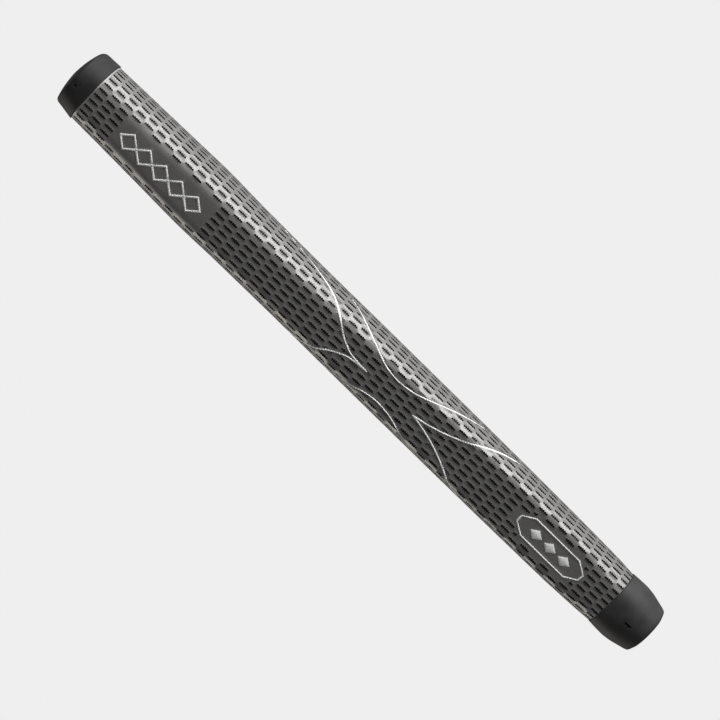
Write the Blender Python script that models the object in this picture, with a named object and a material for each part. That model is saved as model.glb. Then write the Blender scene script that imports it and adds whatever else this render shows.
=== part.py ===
"""Slip-on putter grip: a moulded rubber core, a felt-backed polymer wrap and two rubber caps.

Frame: metres, +Z along the shaft bore from the mouth to the butt, flat front towards -Y,
origin on the bore's axis in the plane of the mouth.
Around the grip, an angle is counted from the front (-Y) towards +X, and a place on the wrap is
given as a height and a girth, the distance round the surface from the front's centre line.
"""

import math

import bmesh
import bpy
import numpy as np

# Lengths along the axis
GRIP_LENGTH = 0.2667
MOUTH_CAP_TOP = 0.0170
BUTT_CAP_BOTTOM = 0.2574
BORE_END = 0.2615

# Outside of the wrap: height, half width, depth behind the axis, distance from the axis to the flat front
PROFILE = (
    (0.0170, 0.01065, 0.0107, 0.00950),
    (0.0230, 0.01105, 0.0110, 0.00965),
    (0.0350, 0.01135, 0.0114, 0.00980),
    (0.0550, 0.01160, 0.0118, 0.01000),
    (0.0900, 0.01180, 0.0121, 0.01035),
    (0.1300, 0.01180, 0.0125, 0.01080),
    (0.1650, 0.01170, 0.0136, 0.01130),
    (0.1900, 0.01180, 0.0153, 0.01180),
    (0.2070, 0.01215, 0.0166, 0.01190),
    (0.2220, 0.01188, 0.0170, 0.01160),
    (0.2450, 0.01150, 0.0166, 0.01080),
    (0.2574, 0.01135, 0.0156, 0.01040),
)
FLAT_HALF_WIDTH = 0.0062
EDGE_SHARPNESS = 36

# Layers and gaps
GAP = 0.0003
WRAP_THICKNESS = 0.0011
FELT_THICKNESS = 0.0006
FELT_INSET = WRAP_THICKNESS + GAP
CORE_INSET = FELT_INSET + FELT_THICKNESS + GAP
SEAM_GAP = 0.0016
SEAM_BEAD_WIDTH = 0.0010
SEAM_BEAD_SINK = 0.00005

# Bore
BORE_RADIUS_MOUTH = 0.0066
BORE_RADIUS_BUTT = 0.00735
VENT_RADIUS = 0.0015

# Caps
CAP_PROUD = 0.00035
BUTT_RIM_HEIGHT = 0.2652
BUTT_SLANT_FRONT = 0.0013
BUTT_SLANT_BACK = 0.00015
BUTT_CORNER_FRONT = 0.0009
BUTT_CORNER_BACK = 0.0024
CORNER_TURN_DEGREES = (60.0, 110.0)
MOUTH_OUTLINE = (
    (0.01700, 0.01100),
    (0.01400, 0.01112),
    (0.01100, 0.01108),
    (0.00800, 0.01067),
    (0.00410, 0.00988),
    (0.00097, 0.00900),
    (0.00055, 0.00830),
    (0.00024, 0.00755),
    (0.00000, 0.00700),
)

# Alignment marks moulded into the caps' front
SLOT_HEIGHT = 0.0078
SLOT_LENGTH = 0.0027
SLOT_WIDTH = 0.0010
DOT_HEIGHT = 0.2630
DOT_RADIUS = 0.0004
MARK_DEPTH = 0.0006

# Painted inlays, each a thin film that stands over the wrap by one gap
PAINT_THICKNESS = 0.0002
LINE_HALF_WIDTH = 0.00032
VEE_TIP_LENGTH = 0.0014
VEE_TIP_HALF_WIDTH = 0.00022
UPPER_VEE_ROUTE = (
    (0.1290, 0.0000),
    (0.1354, 0.0008),
    (0.1410, 0.0027),
    (0.1464, 0.0064),
    (0.1520, 0.0107),
    (0.1575, 0.0136),
    (0.1636, 0.0158),
    (0.1720, 0.0184),
    (0.1900, 0.0245),
    (0.2060, 0.0395),
)
LOWER_VEE_ROUTE = (
    (0.1077, 0.0000),
    (0.1034, 0.0008),
    (0.0978, 0.0023),
    (0.0922, 0.0044),
    (0.0866, 0.0071),
    (0.0812, 0.0106),
    (0.0753, 0.0141),
    (0.0695, 0.0170),
    (0.0560, 0.0226),
    (0.0440, 0.0290),
    (0.0370, 0.0342),
)
ARC_ROUTE = (
    (0.0520, 0.0352),
    (0.0610, 0.0295),
    (0.0730, 0.0232),
    (0.0876, 0.0168),
    (0.0933, 0.0142),
    (0.0989, 0.0115),
    (0.1043, 0.0089),
    (0.1100, 0.0066),
    (0.1145, 0.0055),
    (0.1192, 0.0051),
    (0.1240, 0.0056),
    (0.1290, 0.0073),
    (0.1330, 0.0093),
    (0.1383, 0.0121),
    (0.1437, 0.0154),
    (0.1570, 0.0228),
    (0.1680, 0.0303),
    (0.1740, 0.0370),
)
CHAIN_BOTTOM = 0.2049
CHAIN_TOP = 0.2412
CHAIN_LINKS = 5
CHAIN_HALF_WIDTH = 0.0031
CHAIN_TIP_HALF_WIDTH = 0.00013
BADGE_CENTRE = 0.0444
BADGE_HALF_LENGTH = 0.0146
BADGE_HALF_WIDTH = 0.0043
BADGE_TIP_HALF_WIDTH = 0.0013
BADGE_POINT_LENGTH = 0.0045
BADGE_STROKE = 0.0007
BADGE_DIAMOND_SPACING = 0.0064
BADGE_DIAMOND_HALF_LENGTH = 0.0028
BADGE_DIAMOND_HALF_WIDTH = 0.0021

# Mesh resolution
SIDES = 36
GIRTH_SAMPLES = 361
ROUTE_STEP = 0.0032

BLACK_RUBBER = ("black_rubber", (0.018, 0.018, 0.019), 0.62)
CORE_RUBBER = ("core_rubber", (0.030, 0.030, 0.032), 0.80)
CHARCOAL_POLYMER = ("charcoal_polymer", (0.085, 0.083, 0.080), 0.48)
GREY_FELT = ("grey_felt", (0.16, 0.16, 0.17), 0.95)
SEAM_ADHESIVE = ("seam_adhesive", (0.035, 0.035, 0.036), 0.45)
WHITE_PAINT = ("white_paint", (0.78, 0.78, 0.75), 0.40)


def clear_scene():
    for obj in list(bpy.data.objects):
        bpy.data.objects.remove(obj)


def material(spec):
    name, colour, roughness = spec
    made = bpy.data.materials.get(name) or bpy.data.materials.new(name)
    made.use_nodes = True
    shader = made.node_tree.nodes["Principled BSDF"]
    shader.inputs["Base Color"].default_value = (*colour, 1.0)
    shader.inputs["Roughness"].default_value = roughness
    shader.inputs["Metallic"].default_value = 0.0
    made.diffuse_color = (*colour, 1.0)
    return made


def add_object(name, points, faces, spec):
    """One closed, outward-facing object, smooth except at its real edges."""
    mesh = bpy.data.meshes.new(name)
    mesh.from_pydata([tuple(point) for point in points], [], faces)
    work = bmesh.new()
    work.from_mesh(mesh)
    bmesh.ops.recalc_face_normals(work, faces=work.faces)
    work.to_mesh(mesh)
    work.free()
    mesh.shade_smooth()
    mesh.set_sharp_from_angle(angle=math.radians(35))
    mesh.materials.append(material(spec))
    obj = bpy.data.objects.new(name, mesh)
    bpy.context.scene.collection.objects.link(obj)
    return obj


def ease(value, low, high):
    """0 below low, 1 above high, and a smooth step between."""
    share = min(max((value - low) / (high - low), 0.0), 1.0)
    return share * share * (3.0 - 2.0 * share)


def smooth_curve(stations, place):
    """A smooth curve through (place, value) stations that never overshoots them."""
    ordered = sorted(stations)
    places = [station[0] for station in ordered]
    values = [station[1] for station in ordered]
    place = min(max(place, places[0]), places[-1])
    slopes = [(values[i + 1] - values[i]) / (places[i + 1] - places[i]) for i in range(len(places) - 1)]
    tangents = [slopes[0]]
    for before, after in zip(slopes, slopes[1:]):
        turning = before * after <= 0.0
        tangents.append(0.0 if turning else 2.0 * before * after / (before + after))
    tangents.append(slopes[-1])
    index = max(i for i in range(len(places) - 1) if places[i] <= place)
    span = places[index + 1] - places[index]
    t = (place - places[index]) / span
    return (
        (2 * t**3 - 3 * t**2 + 1) * values[index]
        + (t**3 - 2 * t**2 + t) * span * tangents[index]
        + (3 * t**2 - 2 * t**3) * values[index + 1]
        + (t**3 - t**2) * span * tangents[index + 1]
    )


def profile_at(height):
    """Half width, depth behind the axis and distance to the flat front at a height."""
    return [smooth_curve([(row[0], row[column]) for row in PROFILE], height) for column in (1, 2, 3)]


def section_radius(height, angle, inset=0.0):
    """Distance from the axis to the wrap's outside: an ellipse behind, a flat-faced one in front."""
    half_width, back, flat = profile_at(height)
    front = (flat - inset) / math.sqrt(1.0 - (FLAT_HALF_WIDTH / half_width) ** 2)
    half_width -= inset
    back -= inset
    flat -= inset
    sideways = math.sin(angle)
    forwards = math.cos(angle)
    depth = front if forwards > 0.0 else back
    oval = 1.0 / math.hypot(sideways / half_width, forwards / depth)
    if forwards * oval < 0.5 * flat:
        return oval
    plane = flat / forwards
    nearest = min(oval, plane)
    blend = (oval / nearest) ** -EDGE_SHARPNESS + (plane / nearest) ** -EDGE_SHARPNESS
    return nearest * blend ** (-1.0 / EDGE_SHARPNESS)


def around(radius, angle, height):
    return (radius * math.sin(angle), -radius * math.cos(angle), height)


def surface_point(height, girth, lift):
    """The point at a height and a girth, standing off the wrap by lift."""
    angles = np.linspace(0.0, math.pi, GIRTH_SAMPLES)
    ring = np.array([around(section_radius(height, angle), angle, height) for angle in angles])
    steps = np.linalg.norm(np.diff(ring, axis=0), axis=1)
    distance = np.concatenate([[0.0], np.cumsum(steps)])
    angle = math.copysign(float(np.interp(abs(girth), distance, angles)), girth)
    return around(section_radius(height, angle, -lift), angle, height)


def bore_radius(height):
    """The bore tapers up to the butt cap, inside which it is straight at its widest."""
    return BORE_RADIUS_MOUTH + (BORE_RADIUS_BUTT - BORE_RADIUS_MOUTH) * height / BORE_END


def full_turn():
    return [math.tau * index / SIDES for index in range(SIDES)]


def circle(radius, height):
    return [around(radius, angle, height) for angle in full_turn()]


def ring_body(name, rings, spec):
    """A hollow body whose wall runs through the rings in order and closes on the first one."""
    points = [point for ring in rings for point in ring]
    faces = []
    for index in range(len(rings)):
        following = (index + 1) % len(rings)
        for side in range(SIDES):
            beside = (side + 1) % SIDES
            first, second = index * SIDES, following * SIDES
            faces.append((first + side, first + beside, second + beside, second + side))
    return add_object(name, points, faces, spec)


def wrap_heights():
    """Heights of the layers between the caps, clear of both."""
    inner = [row[0] for row in PROFILE[1:-1]]
    return [MOUTH_CAP_TOP + GAP, *inner, BUTT_CAP_BOTTOM - GAP]


def make_core_sleeve():
    heights = wrap_heights()
    outside = [
        [around(section_radius(height, angle, CORE_INSET), angle, height) for angle in full_turn()]
        for height in heights
    ]
    bore = [circle(bore_radius(height), height) for height in (heights[-1], heights[0])]
    ring_body("core_sleeve", outside + bore, CORE_RUBBER)


def make_panel(name, outer_inset, thickness, spec):
    """A sheet bent round the grip, with a slit along the back where its long edges face each other."""
    heights = wrap_heights()
    points = []
    for inset in (outer_inset, outer_inset + thickness):
        for height in heights:
            reach = math.pi - 0.5 * SEAM_GAP / profile_at(height)[1]
            for index in range(SIDES + 1):
                angle = reach * (2.0 * index / SIDES - 1.0)
                points.append(around(section_radius(height, angle, inset), angle, height))
    columns = SIDES + 1
    layer = columns * len(heights)
    faces = []
    for row in range(len(heights) - 1):
        for column in range(SIDES):
            corner = row * columns + column
            quad = (corner, corner + 1, corner + 1 + columns, corner + columns)
            faces.append(quad)
            faces.append(tuple(layer + index for index in reversed(quad)))
        for corner in (row * columns, row * columns + SIDES):
            faces.append((corner, corner + columns, corner + columns + layer, corner + layer))
    for start in (0, layer - columns):
        for column in range(SIDES):
            corner = start + column
            faces.append((corner, corner + 1, corner + 1 + layer, corner + layer))
    add_object(name, points, faces, spec)


def make_seam_bead():
    """The adhesive strip that fills the slit along the back."""
    half = 0.5 * SEAM_BEAD_WIDTH
    points = []
    for height in wrap_heights():
        back = profile_at(height)[1]
        bottom = back - CORE_INSET + GAP
        top = back - SEAM_BEAD_SINK
        points += [(-half, bottom, height), (half, bottom, height), (half, top, height), (-half, top, height)]
    last = len(points) - 4
    faces = [(0, 1, 2, 3), (last, last + 1, last + 2, last + 3)]
    for start in range(0, last, 4):
        for side in range(4):
            beside = (side + 1) % 4
            faces.append((start + side, start + beside, start + 4 + beside, start + 4 + side))
    add_object("back_seam_bead", points, faces, SEAM_ADHESIVE)


def butt_cap_column(angle):
    """The cap's outline at one angle, from the foot of its wall to the edge of its dome."""
    turn = ease(math.degrees(abs(math.remainder(angle, math.tau))), *CORNER_TURN_DEGREES)
    slant = BUTT_SLANT_FRONT + (BUTT_SLANT_BACK - BUTT_SLANT_FRONT) * turn
    corner = BUTT_CORNER_FRONT + (BUTT_CORNER_BACK - BUTT_CORNER_FRONT) * turn
    foot = section_radius(BUTT_CAP_BOTTOM, angle, -CAP_PROUD)
    outline = [(foot, BUTT_CAP_BOTTOM)]
    for degrees in (0, 25, 50, 75):
        rounding = math.radians(degrees)
        radius = foot - slant - corner * (1.0 - math.cos(rounding))
        outline.append((radius, BUTT_RIM_HEIGHT - corner * (1.0 - math.sin(rounding))))
    edge_radius, edge_height = outline[-1]
    for share in (0.72, 0.42):
        rise = (GRIP_LENGTH - edge_height) * (1.0 - share**2)
        outline.append((edge_radius * share, edge_height + rise))
    return outline


def make_butt_cap():
    columns = [butt_cap_column(angle) for angle in full_turn()]
    outside = [
        [around(column[ring][0], angle, column[ring][1]) for column, angle in zip(columns, full_turn())]
        for ring in range(len(columns[0]))
    ]
    inside = [
        circle(VENT_RADIUS, GRIP_LENGTH),
        circle(VENT_RADIUS, BORE_END),
        circle(BORE_RADIUS_BUTT, BORE_END),
        circle(BORE_RADIUS_BUTT, BUTT_CAP_BOTTOM),
    ]
    cap = ring_body("butt_cap", outside + inside, BLACK_RUBBER)
    dot_share = (DOT_HEIGHT - BUTT_CAP_BOTTOM) / (BUTT_RIM_HEIGHT - BUTT_CAP_BOTTOM)
    surface = section_radius(BUTT_CAP_BOTTOM, 0.0, -CAP_PROUD) - BUTT_SLANT_FRONT * dot_share
    cut(cap, dot_cutter("butt_dot_cutter", surface, DOT_HEIGHT))


def mouth_cap_radius(height, angle):
    """The collar's outside: the wrap's section at its top, turning to a circle at the mouth."""
    half_width = smooth_curve(MOUTH_OUTLINE, height)
    top_width = MOUTH_OUTLINE[0][1]
    roundness = (1.0 - height / MOUTH_CAP_TOP) ** 1.5
    section = section_radius(MOUTH_CAP_TOP, angle, -CAP_PROUD)
    return half_width / top_width * (section * (1.0 - roundness) + top_width * roundness)


def make_mouth_cap():
    outside = [
        [around(mouth_cap_radius(height, angle), angle, height) for angle in full_turn()]
        for height, _ in MOUTH_OUTLINE
    ]
    bore = [circle(bore_radius(height), height) for height in (0.0, MOUTH_CAP_TOP)]
    cap = ring_body("mouth_cap", outside + bore, BLACK_RUBBER)
    cut(cap, slot_cutter("mouth_slot_cutter", mouth_cap_radius(SLOT_HEIGHT, 0.0), SLOT_HEIGHT))


def slot_cutter(name, surface, height):
    bpy.ops.mesh.primitive_cube_add(size=1.0, location=(0.0, -surface, height))
    cutter = bpy.context.object
    cutter.name = name
    cutter.scale = (SLOT_WIDTH, 2.0 * MARK_DEPTH, SLOT_LENGTH)
    return cutter


def dot_cutter(name, surface, height):
    bpy.ops.mesh.primitive_cylinder_add(
        vertices=12,
        radius=DOT_RADIUS,
        depth=2.0 * MARK_DEPTH,
        location=(0.0, -surface, height),
        rotation=(math.radians(90), 0.0, 0.0),
    )
    cutter = bpy.context.object
    cutter.name = name
    return cutter


def cut(body, cutter):
    cutter.hide_render = True
    cutter.display_type = "WIRE"
    boolean = body.modifiers.new("moulded_mark", "BOOLEAN")
    boolean.operation = "DIFFERENCE"
    boolean.solver = "EXACT"
    boolean.object = cutter


def film(name, cells):
    """A thin painted film over the wrap, from flat cells of (height, girth) corners."""
    corners = []
    index_of = {}
    for cell in cells:
        for corner in cell:
            if corner not in index_of:
                index_of[corner] = len(corners)
                corners.append(corner)
    polygons = [[index_of[corner] for corner in cell] for cell in cells]
    count = len(corners)
    points = [surface_point(*corner, GAP) for corner in corners]
    points += [surface_point(*corner, GAP + PAINT_THICKNESS) for corner in corners]
    edges = {}
    for polygon in polygons:
        for start, end in zip(polygon, polygon[1:] + polygon[:1]):
            edges.setdefault(frozenset((start, end)), []).append((start, end))
    faces = [tuple(polygon) for polygon in polygons]
    faces += [tuple(count + index for index in reversed(polygon)) for polygon in polygons]
    for uses in edges.values():
        if len(uses) == 1:
            start, end = uses[0]
            faces.append((end, start, start + count, end + count))
    add_object(name, points, faces, WHITE_PAINT)


def band_cells(rows, sides=(1, -1)):
    """Cells of a band given as (height, inner girth, outer girth) rows, on one side or mirrored on both."""
    cells = []
    for side in sides:
        for (low, inner, outer), (high, next_inner, next_outer) in zip(rows, rows[1:]):
            cell = []
            for corner in ((low, inner), (low, outer), (high, next_outer), (high, next_inner)):
                placed = (corner[0], round(side * corner[1], 7) + 0.0)
                if placed not in cell:
                    cell.append(placed)
            cells.append(cell if side > 0 else cell[::-1])
    return cells


def line_rows(route):
    """Rows of a painted line of even width along a smooth route of (height, girth) points."""
    low = min(route)[0]
    high = max(route)[0]
    count = max(int(round((high - low) / ROUTE_STEP)), 2)
    step = (high - low) / count
    rows = []
    for index in range(count + 1):
        height = low + index * step
        girth = smooth_curve(route, height)
        ahead = smooth_curve(route, min(height + 0.1 * step, high))
        behind = smooth_curve(route, max(height - 0.1 * step, low))
        run = min(height + 0.1 * step, high) - max(height - 0.1 * step, low)
        half = LINE_HALF_WIDTH * math.hypot(1.0, (ahead - behind) / run)
        rows.append((height, max(girth - half, 0.0), girth + half))
    return rows


def vee_rows(route):
    """Rows of a vee, whose two branches run on as one short tip past the point where they meet."""
    rows = line_rows(route)
    tip_height = route[0][0]
    outwards = math.copysign(VEE_TIP_LENGTH, tip_height - route[-1][0])
    return sorted(rows + [(tip_height + outwards, 0.0, VEE_TIP_HALF_WIDTH)])


def make_painted_lines():
    film("upper_vee_line", band_cells(vee_rows(UPPER_VEE_ROUTE)))
    film("lower_vee_line", band_cells(vee_rows(LOWER_VEE_ROUTE)))
    film("right_arc_line", band_cells(line_rows(ARC_ROUTE), sides=(1,)))
    film("left_arc_line", band_cells(line_rows(ARC_ROUTE), sides=(-1,)))


def make_diamond_chain():
    """A chain of outlined diamonds: two mirrored zigzags that meet between the links."""
    link = (CHAIN_TOP - CHAIN_BOTTOM) / CHAIN_LINKS
    slope = 2.0 * CHAIN_HALF_WIDTH / link
    stroke = LINE_HALF_WIDTH * math.hypot(1.0, slope)
    waist = stroke / slope
    rows = [(CHAIN_BOTTOM - waist, 0.0, CHAIN_TIP_HALF_WIDTH)]
    for number in range(CHAIN_LINKS):
        start = CHAIN_BOTTOM + number * link
        rows.append((start + waist, 0.0, 2.0 * stroke))
        rows.append((start + 0.5 * link, CHAIN_HALF_WIDTH - stroke, CHAIN_HALF_WIDTH + stroke))
        rows.append((start + link - waist, 0.0, 2.0 * stroke))
        if number < CHAIN_LINKS - 1:
            rows.append((start + link, 0.0, stroke))
    rows.append((CHAIN_TOP + waist, 0.0, CHAIN_TIP_HALF_WIDTH))
    film("diamond_chain", band_cells(rows))


def make_badge():
    """A long hexagon frame with three solid diamonds in it."""
    low = BADGE_CENTRE - BADGE_HALF_LENGTH
    high = BADGE_CENTRE + BADGE_HALF_LENGTH
    inner_width = BADGE_HALF_WIDTH - BADGE_STROKE
    widening = (BADGE_HALF_WIDTH - BADGE_TIP_HALF_WIDTH) / BADGE_POINT_LENGTH
    bar_width = BADGE_TIP_HALF_WIDTH + widening * BADGE_STROKE
    rows = [
        (low, 0.0, BADGE_TIP_HALF_WIDTH),
        (low + BADGE_STROKE, 0.0, bar_width),
        (low + BADGE_POINT_LENGTH, inner_width, BADGE_HALF_WIDTH),
        (high - BADGE_POINT_LENGTH, inner_width, BADGE_HALF_WIDTH),
        (high - BADGE_STROKE, 0.0, bar_width),
        (high, 0.0, BADGE_TIP_HALF_WIDTH),
    ]
    film("badge_frame", band_cells(rows))
    for number in (-1, 0, 1):
        centre = BADGE_CENTRE + number * BADGE_DIAMOND_SPACING
        diamond = [
            (centre - BADGE_DIAMOND_HALF_LENGTH, 0.0, 0.0),
            (centre, 0.0, BADGE_DIAMOND_HALF_WIDTH),
            (centre + BADGE_DIAMOND_HALF_LENGTH, 0.0, 0.0),
        ]
        film(f"badge_diamond_{number + 2}", band_cells(diamond))


def main():
    clear_scene()
    make_core_sleeve()
    make_panel("felt_backing", FELT_INSET, FELT_THICKNESS, GREY_FELT)
    make_panel("skin_wrap", 0.0, WRAP_THICKNESS, CHARCOAL_POLYMER)
    make_seam_bead()
    make_butt_cap()
    make_mouth_cap()
    make_painted_lines()
    make_diamond_chain()
    make_badge()


main()
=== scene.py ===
"""Looks of the slip-on putter grip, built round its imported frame.

Everything is in metres in the row frame: +Z runs up the shaft bore from the mouth to the butt,
and the flat front faces -Y. A place on the wrap is a height and a girth, the distance round the
surface from the front's centre line, towards +X when positive.
"""

import math

import bpy
import numpy as np
from mathutils import Matrix, Vector
from mathutils.geometry import delaunay_2d_cdt


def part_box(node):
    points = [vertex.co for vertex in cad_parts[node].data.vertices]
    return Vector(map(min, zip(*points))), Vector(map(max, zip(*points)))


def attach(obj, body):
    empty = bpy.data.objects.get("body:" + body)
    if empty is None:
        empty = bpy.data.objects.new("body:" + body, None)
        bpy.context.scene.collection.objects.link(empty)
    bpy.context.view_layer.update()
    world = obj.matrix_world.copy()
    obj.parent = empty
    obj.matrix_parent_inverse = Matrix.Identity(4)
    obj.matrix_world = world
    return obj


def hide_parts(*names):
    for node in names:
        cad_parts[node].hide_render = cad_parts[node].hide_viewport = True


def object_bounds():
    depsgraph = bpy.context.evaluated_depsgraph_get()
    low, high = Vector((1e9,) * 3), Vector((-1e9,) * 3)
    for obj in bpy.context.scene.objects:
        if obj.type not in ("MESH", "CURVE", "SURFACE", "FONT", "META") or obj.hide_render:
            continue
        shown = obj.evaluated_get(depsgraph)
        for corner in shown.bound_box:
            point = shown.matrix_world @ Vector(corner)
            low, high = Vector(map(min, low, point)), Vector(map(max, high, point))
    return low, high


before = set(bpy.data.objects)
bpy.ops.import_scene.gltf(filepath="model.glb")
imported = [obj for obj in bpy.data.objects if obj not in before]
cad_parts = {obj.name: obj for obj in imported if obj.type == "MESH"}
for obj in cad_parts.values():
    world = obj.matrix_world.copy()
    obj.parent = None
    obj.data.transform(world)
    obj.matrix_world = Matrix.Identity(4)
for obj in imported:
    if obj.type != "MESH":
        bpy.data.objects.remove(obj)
cad_low, cad_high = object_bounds()

# Wrap: its section law, and the sheet itself. FLAT_HALF_WIDTHS gives heights and half widths,
# and places closer than TOUCH count as the same.
FLAT_HALF_WIDTHS = (
    (0.017, 0.0052), (0.025, 0.0064), (0.038, 0.008), (0.09, 0.0078), (0.135, 0.007),
    (0.16, 0.0062), (0.215, 0.0062), (0.235, 0.0053), (0.2574, 0.0049),
)
PROFILE_RING_BAND = 0.00006
EDGE_SHARPNESS = 36
GAP = 0.0003
WRAP_THICKNESS = 0.0011
CORE_INSET = 0.0023
SEAM_GAP = 0.0016
SEAM_BEAD_WIDTH = 0.0010
SEAM_BEAD_SINK = 0.00005
SEAM_BEAD_ROUND = 0.0002
SEAM_BEAD_UNEVENNESS = 0.00002
SEAM_BEAD_ROWS = 160
# Across the bead: shares of its half width, and of how far its rounded edge drops
SEAM_BEAD_SHAPE = (
    (-1.0, 0.45), (-0.8, 0.15), (-0.4, 0.0), (0.0, 0.0), (0.4, 0.0), (0.8, 0.15), (1.0, 0.45),
)
SHEET_EDGE_DROP = 0.00012
SHEET_EDGE_TILT = 0.7
TOUCH = 1e-6
SHEET_EDGE_BAND = 0.0003
SEAM_CLEARANCE = 0.0005
SHEET_POINTS_ALONG = 121
SHEET_POINTS_ACROSS = 73
INNER_ROWS = 34
INNER_POINTS_ACROSS = 25
INNER_SEAM_CLEARANCE = 0.002
TOP_EDGE_GAP = 0.00005
# How far down from its top edge the sheet is painted lighter: a painted highlight along the edge
PAINTED_HIGHLIGHT_EDGE_WIDTH = 0.00045

# Dashes moulded into the wrap, in columns down the grip that alternate by half a row.
# COLUMN_STATIONS gives a column's number and its height.
COLUMN_STATIONS = (
    (0, 0.2548), (10, 0.2083), (20, 0.1616), (30, 0.1149), (40, 0.0685), (46, 0.0411),
    (51, 0.0184),
)
DASH_COLUMNS = 52
DASH_ROW_PITCH = 0.00247
DASH_RAGGEDNESS = 0.16
DASH_LENGTH = 0.0038
DASH_LOBE_HALF_WIDTH = 0.00076
DASH_LOBE_SHARES = (0.62, 0.90, 1.00, 0.90, 0.62)
DASH_LOBES = len(DASH_LOBE_SHARES)
DASH_NECK_HALF_WIDTH = 0.00021
DASH_END_HALF_WIDTH = 0.00012
DASH_SEAM_CLEARANCE = 1.5 * DASH_LOBE_HALF_WIDTH
DASH_MIN_STATIONS = 4
DASH_DEPTH = 0.00050
GHOST_DEPTH = 0.00018
RIM_TILT = 0.16
RIM_DROP = 0.00003
LINE_CLEARANCE = 0.00118
SHEET_END_CLEARANCE = 0.0002
PANEL_LOW = 0.2032
PANEL_HIGH = 0.2433
PANEL_HALF_WIDTH = 0.0062
BADGE_CLEARANCE = 0.0009
LAND_POINT_SHIFTS = (-0.0012, 0.0, 0.0012)

# The sheet was wrapped slightly askew: how far its pattern lies to +X of the true centre line
SHEET_SKEW = (
    (0.017, 0.0002), (0.045, 0.0002), (0.07, 0.0005), (0.115, 0.0), (0.15, -0.00045),
    (0.19, -0.0006), (0.2574, -0.00095),
)

# Painted inlays and the grooves they lie in
GROOVE_DEPTH = 0.00028
GROOVE_MARGIN = 0.00008
PAINT_EDGE_DEPTH = 0.00014
PAINT_CROWN_DEPTH = -0.00004
PAINT_BOTTOM_DEPTH = 0.00027
LINE_HALF_WIDTH = 0.00033
ARC_HALF_WIDTH = 0.00027
FLANK_GIRTHS = (0.0128, 0.0175)
FLANK_LINE_SHARE = 0.60
FLANK_SINK = 0.00012
LINE_STEP = 0.0008
SPINE_STEP = 0.0009
DIAMOND_SPINE_STEP = 0.0006
DIAMOND_SPINE_SHARE = 0.72
VEE_TIP_LENGTH = 0.0005
VEE_SHOULDER_SHARES = (0.65, 0.75)
# The lines' routes, each a height and a girth. Every line has a mirrored twin.
UPPER_VEE_ROUTE = (
    (0.129, 0.0), (0.1354, 0.0005), (0.141, 0.0026), (0.1464, 0.0064), (0.152, 0.0107),
    (0.1575, 0.0136), (0.1636, 0.0158), (0.172, 0.0186), (0.18, 0.0215), (0.188, 0.0252),
    (0.195, 0.0294), (0.201, 0.0341), (0.206, 0.0395),
)
LOWER_VEE_ROUTE = (
    (0.1077, 0.0), (0.1034, 0.0008), (0.0978, 0.0023), (0.0922, 0.0044), (0.0866, 0.0071),
    (0.0812, 0.0106), (0.0753, 0.0141), (0.0695, 0.017), (0.056, 0.0226), (0.044, 0.029),
    (0.037, 0.0342),
)
ARC_ROUTE = (
    (0.052, 0.0352), (0.061, 0.0295), (0.073, 0.0232), (0.0876, 0.0168), (0.0933, 0.0142),
    (0.0989, 0.0115), (0.1043, 0.0089), (0.11, 0.0066), (0.1145, 0.0055), (0.1192, 0.0051),
    (0.124, 0.0056), (0.129, 0.0073), (0.133, 0.0093), (0.1383, 0.0121), (0.1437, 0.0154),
    (0.157, 0.0228), (0.168, 0.0303), (0.174, 0.037),
)
CHAIN_BOTTOM = 0.2049
CHAIN_TOP = 0.2412
CHAIN_LINKS = 5
CHAIN_HALF_WIDTH = 0.0031
CHAIN_HALF_STROKE = 0.00045
BADGE_HALF_STROKE = 0.00036
BADGE_CENTRE = 0.0444
BADGE_HALF_LENGTH = 0.0146
BADGE_HALF_WIDTH = 0.0043
BADGE_TIP_HALF_WIDTH = 0.0013
BADGE_POINT_LENGTH = 0.0045
BADGE_DIAMOND_SPACING = 0.0064
BADGE_DIAMOND_HALF_LENGTH = 0.0028
BADGE_DIAMOND_HALF_WIDTH = 0.0021

# Caps and bore. Each cap stands proud of the wrap, and the sheet closes up to the mouth cap by
# MOUTH_GAP_TAKEN. The butt cap's wall slants in to its rim and turns into the crown by a corner.
CAP_PROUD = 0.00040
MOUTH_CAP_PROUD = 0.00018
MOUTH_GAP_TAKEN = 0.00012
BORE_RADIUS_MOUTH = 0.0066
BORE_RADIUS_BUTT = 0.00735
BORE_END = 0.2615
VENT_RADIUS = 0.0015
SMALL_ROUND = 0.00015
CAP_SHARPNESS = 16
CAP_FOOT_OVAL_SHARE = 0.12
CAP_HEAD_OVAL_SHARE = 0.75
MOUTH_OVAL_SHARE = 0.20
BUTT_RIM_HEIGHT = 0.2652
BUTT_SLANT_FRONT = 0.0013
BUTT_SLANT_BACK = 0.00015
BUTT_CORNER_FRONT = 0.0009
BUTT_CORNER_BACK = 0.0024
CORNER_TURN_DEGREES = (60.0, 110.0)
CORNER_DEGREES = np.arange(12.5, 76.0, 12.5)
CROWN_SHARES = (0.92, 0.82, 0.70, 0.57, 0.43, 0.30)
BUTT_WALL_RINGS = 7
MOUTH_WALL_RINGS = 26
MOUTH_LIP_RINGS = 8
MOUTH_TURN_POWER = 1.5
# The collar's heights and half widths from its top down, and the row where its wall meets the lip
MOUTH_CORNER = 5
MOUTH_OUTLINE = (
    (0.017, 0.011), (0.014, 0.01116), (0.011, 0.01121), (0.008, 0.0109), (0.0041, 0.00997),
    (0.00097, 0.009), (0.00055, 0.0083), (0.00024, 0.00755), (0.0, 0.007),
)
SLOT_HEIGHT = 0.0078
SLOT_LENGTH = 0.0027
SLOT_WIDTH = 0.0008
DOT_HEIGHT = 0.2630
DOT_RADIUS = 0.0004
MARK_DEPTH = 0.0016
CAP_SIDES = 144
CORE_RINGS = 40
SHARP_DEGREES = 32.0

# The wrap's back is duller than its front and sides: added to its roughness
DULL_BACK = 0.32

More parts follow.
